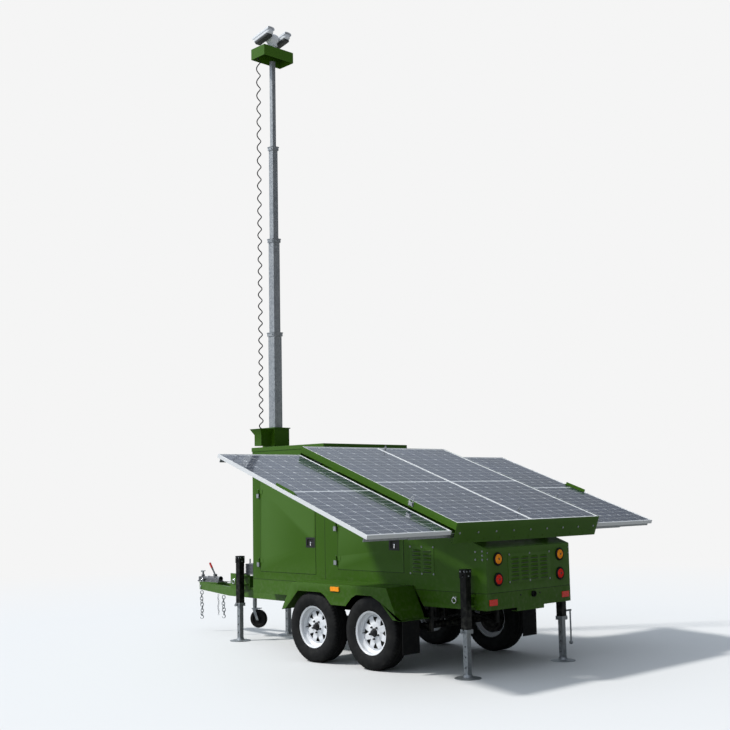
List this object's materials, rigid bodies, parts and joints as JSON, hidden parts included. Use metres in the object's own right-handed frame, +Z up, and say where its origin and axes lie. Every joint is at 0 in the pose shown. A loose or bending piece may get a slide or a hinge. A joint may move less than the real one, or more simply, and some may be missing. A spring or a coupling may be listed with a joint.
{
  "type": "surveillance trailer",
  "caption": "Green tandem-axle trailer with sloped solar array and slide-out modules, equipment cabinet, corner jacks and telescopic camera mast.",
  "frame": {"origin": "on the ground under the middle of the whole trailer", "axes": "+X forward to the coupling, +Y to the left side, +Z up"},
  "size_m": [5.214, 4.108, 7.159],
  "materials": {
    "green_paint": "semi-gloss powder coat",
    "galvanised": "hot-dip galvanised, dull",
    "black_paint": "satin",
    "black_rubber": "matt",
    "tyre_rubber": "matt",
    "white_paint": "gloss",
    "black_plastic": "satin",
    "grey_paint": "satin",
    "battery_case": "matt",
    "equipment_case": "satin",
    "amber_lens": "gloss",
    "red_lens": "gloss",
    "chrome": "bright",
    "solar_module": "glass over blue-black cells, anodised frame",
    "white_plastic": "semi-gloss",
    "cable_sheath": "satin"
  },
  "bodies": {
    "trailer": {"chassis_frame": "green_paint", "tongue_frame": "green_paint", "coupler": "grey_paint", "safety_chains": "galvanised", "axles": "black_paint", "leaf_springs": "black_paint", "fenders": "green_paint", "mud_flaps": "black_rubber", "cabinet_shell": "green_paint", "cabinet_roof": "green_paint", "louvre_panels": "green_paint", "door_hinges": "galvanised", "battery_bank": "battery_case", "equipment_rack": "equipment_case", "rear_fittings": "black_rubber", "amber_lamps": "amber_lens", "red_lamps": "red_lens", "tie_rings": "chrome", "tray_frame": "green_paint", "fixed_modules": "solar_module", "slide_channels": "galvanised", "jack_tubes": "black_paint", "mast_housing": "green_paint", "mast_winch": "grey_paint", "coiled_cable": "cable_sheath"},
    "mast_1": {"mast_section_1": "galvanised"},
    "mast_2": {"mast_section_2": "galvanised"},
    "mast_3": {"mast_section_3": "galvanised"},
    "mast_4": {"mast_section_4": "galvanised", "mast_top_box": "green_paint"},
    "pan_head": {"camera_pan_head": "white_plastic"},
    "pods": {"camera_pods": "white_plastic"},
    "runners_left": {"slide_runners_left": "galvanised"},
    "runners_right": {"slide_runners_right": "galvanised"},
    "module_left": {"slide_module_left": "solar_module"},
    "module_right": {"slide_module_right": "solar_module"},
    "eq_door_left": {"equipment_door_left": "green_paint"},
    "eq_door_right": {"equipment_door_right": "green_paint"},
    "bat_door_left": {"battery_door_left": "green_paint"},
    "eq_latch_left": {"equipment_latch_left": "black_plastic"},
    "eq_latch_right": {"equipment_latch_right": "black_plastic"},
    "bat_latch_left": {"battery_latch_left": "black_plastic"},
    "wheel_front_left": {"tyre_front_left": "tyre_rubber", "rim_front_left": "white_paint"},
    "wheel_front_right": {"tyre_front_right": "tyre_rubber", "rim_front_right": "white_paint"},
    "wheel_rear_left": {"tyre_rear_left": "tyre_rubber", "rim_rear_left": "white_paint"},
    "wheel_rear_right": {"tyre_rear_right": "tyre_rubber", "rim_rear_right": "white_paint"},
    "leg_front_left": {"jack_leg_front_left": "galvanised"},
    "leg_front_right": {"jack_leg_front_right": "galvanised"},
    "leg_rear_left": {"jack_leg_rear_left": "galvanised"},
    "leg_rear_right": {"jack_leg_rear_right": "galvanised"},
    "crank": {"jack_crank": "galvanised"},
    "brake_lever": {"handbrake_lever": "grey_paint"},
    "coupler_handle": {"coupler_latch": "galvanised"},
    "jockey_post": {"jockey_tube": "galvanised"},
    "jockey_swivel_fork": {"jockey_fork": "galvanised"},
    "jockey_roller": {"jockey_wheel": "black_rubber"}
  },
  "joints": [
    {"name": "mast_raise", "type": "slide", "parent": "trailer", "child": "mast_1", "axis": [0, 0, 1], "range_m": [-0.94, 0], "deforming": ["coiled_cable"]},
    {"name": "mast_extend_2", "type": "slide", "parent": "mast_1", "child": "mast_2", "axis": [0, 0, 1], "range_m": [-0.94, 0]},
    {"name": "mast_extend_3", "type": "slide", "parent": "mast_2", "child": "mast_3", "axis": [0, 0, 1], "range_m": [-0.94, 0]},
    {"name": "mast_extend_4", "type": "slide", "parent": "mast_3", "child": "mast_4", "axis": [0, 0, 1], "range_m": [-0.94, 0]},
    {"name": "camera_pan", "type": "hinge", "parent": "mast_4", "child": "pan_head", "pos_m": [1.0925, 0, 6.925], "axis": [0, 0, 1], "continuous": true},
    {"name": "camera_tilt", "type": "hinge", "parent": "pan_head", "child": "pods", "pos_m": [1.0925, 0, 7.075], "axis": [0, 1, 0], "range_deg": [-40, 30]},
    {"name": "module_slide_left", "type": "slide", "parent": "trailer", "child": "module_left", "axis": [0, -1, 0], "range_m": [0, 1]},
    {"name": "runner_slide_left", "type": "slide", "parent": "trailer", "child": "runners_left", "axis": [0, -1, 0], "range_m": [0, 0.5]},
    {"name": "module_slide_right", "type": "slide", "parent": "trailer", "child": "module_right", "axis": [0, 1, 0], "range_m": [0, 1]},
    {"name": "runner_slide_right", "type": "slide", "parent": "trailer", "child": "runners_right", "axis": [0, 1, 0], "range_m": [0, 0.5]},
    {"name": "equipment_door_left_swing", "type": "hinge", "parent": "trailer", "child": "eq_door_left", "pos_m": [0.6445, 0.618, 1.015], "axis": [0, 0, -1], "range_deg": [0, 110]},
    {"name": "equipment_door_right_swing", "type": "hinge", "parent": "trailer", "child": "eq_door_right", "pos_m": [0.6445, -0.618, 1.015], "axis": [0, 0, 1], "range_deg": [0, 110]},
    {"name": "battery_door_left_swing", "type": "hinge", "parent": "trailer", "child": "bat_door_left", "pos_m": [-0.5955, 0.618, 1.078], "axis": [0, 0, -1], "range_deg": [0, 110]},
    {"name": "equipment_latch_left_pull", "type": "hinge", "parent": "eq_door_left", "child": "eq_latch_left", "pos_m": [-0.1945, 0.595, 1.159], "axis": [1, 0, 0], "range_deg": [0, 40]},
    {"name": "equipment_latch_right_pull", "type": "hinge", "parent": "eq_door_right", "child": "eq_latch_right", "pos_m": [-0.1945, -0.595, 1.159], "axis": [-1, 0, 0], "range_deg": [0, 40]},
    {"name": "battery_latch_left_pull", "type": "hinge", "parent": "bat_door_left", "child": "bat_latch_left", "pos_m": [-1.4085, 0.595, 1.16], "axis": [1, 0, 0], "range_deg": [0, 40]},
    {"name": "wheel_front_left_spin", "type": "hinge", "parent": "trailer", "child": "wheel_front_left", "pos_m": [-0.5915, 0.848, 0.34], "axis": [0, 1, 0], "continuous": true},
    {"name": "wheel_front_right_spin", "type": "hinge", "parent": "trailer", "child": "wheel_front_right", "pos_m": [-0.5915, -0.848, 0.34], "axis": [0, 1, 0], "continuous": true},
    {"name": "wheel_rear_left_spin", "type": "hinge", "parent": "trailer", "child": "wheel_rear_left", "pos_m": [-1.4015, 0.848, 0.34], "axis": [0, 1, 0], "continuous": true},
    {"name": "wheel_rear_right_spin", "type": "hinge", "parent": "trailer", "child": "wheel_rear_right", "pos_m": [-1.4015, -0.848, 0.34], "axis": [0, 1, 0], "continuous": true},
    {"name": "leg_front_left_lift", "type": "slide", "parent": "trailer", "child": "leg_front_left", "axis": [0, 0, 1], "range_m": [0, 0.29]},
    {"name": "leg_front_right_lift", "type": "slide", "parent": "trailer", "child": "leg_front_right", "axis": [0, 0, 1], "range_m": [0, 0.29]},
    {"name": "leg_rear_left_lift", "type": "slide", "parent": "trailer", "child": "leg_rear_left", "axis": [0, 0, 1], "range_m": [0, 0.29]},
    {"name": "leg_rear_right_lift", "type": "slide", "parent": "trailer", "child": "leg_rear_right", "axis": [0, 0, 1], "range_m": [0, 0.29]},
    {"name": "jack_crank_turn", "type": "hinge", "parent": "trailer", "child": "crank", "pos_m": [-2.3705, -0.743, 0.465], "axis": [0, 1, 0], "continuous": true},
    {"name": "handbrake_pull", "type": "hinge", "parent": "trailer", "child": "brake_lever", "pos_m": [2.2795, 0, 0.672], "axis": [0, 1, 0], "range_deg": [-30, 30]},
    {"name": "coupler_handle_lift", "type": "hinge", "parent": "trailer", "child": "coupler_handle", "pos_m": [2.5295, 0, 0.66], "axis": [0, 1, 0], "range_deg": [-50, 0]},
    {"name": "jockey_height", "type": "slide", "parent": "trailer", "child": "jockey_post", "axis": [0, 0, 1], "range_m": [-0.1, 0.12]},
    {"name": "jockey_swivel", "type": "hinge", "parent": "jockey_post", "child": "jockey_swivel_fork", "pos_m": [1.5075, 0, 0.353], "axis": [0, 0, 1], "continuous": true},
    {"name": "jockey_wheel_spin", "type": "hinge", "parent": "jockey_swivel_fork", "child": "jockey_roller", "pos_m": [1.46219, -0.02113, 0.203], "axis": [-0.4226, 0.9063, 0], "continuous": true}
  ],
  "couplings": [
    {"joint": "mast_extend_2", "follows": "mast_raise", "ratio": 1},
    {"joint": "mast_extend_3", "follows": "mast_raise", "ratio": 1},
    {"joint": "mast_extend_4", "follows": "mast_raise", "ratio": 1},
    {"joint": "runner_slide_left", "follows": "module_slide_left", "ratio": 0.5},
    {"joint": "runner_slide_right", "follows": "module_slide_right", "ratio": 0.5}
  ]
}
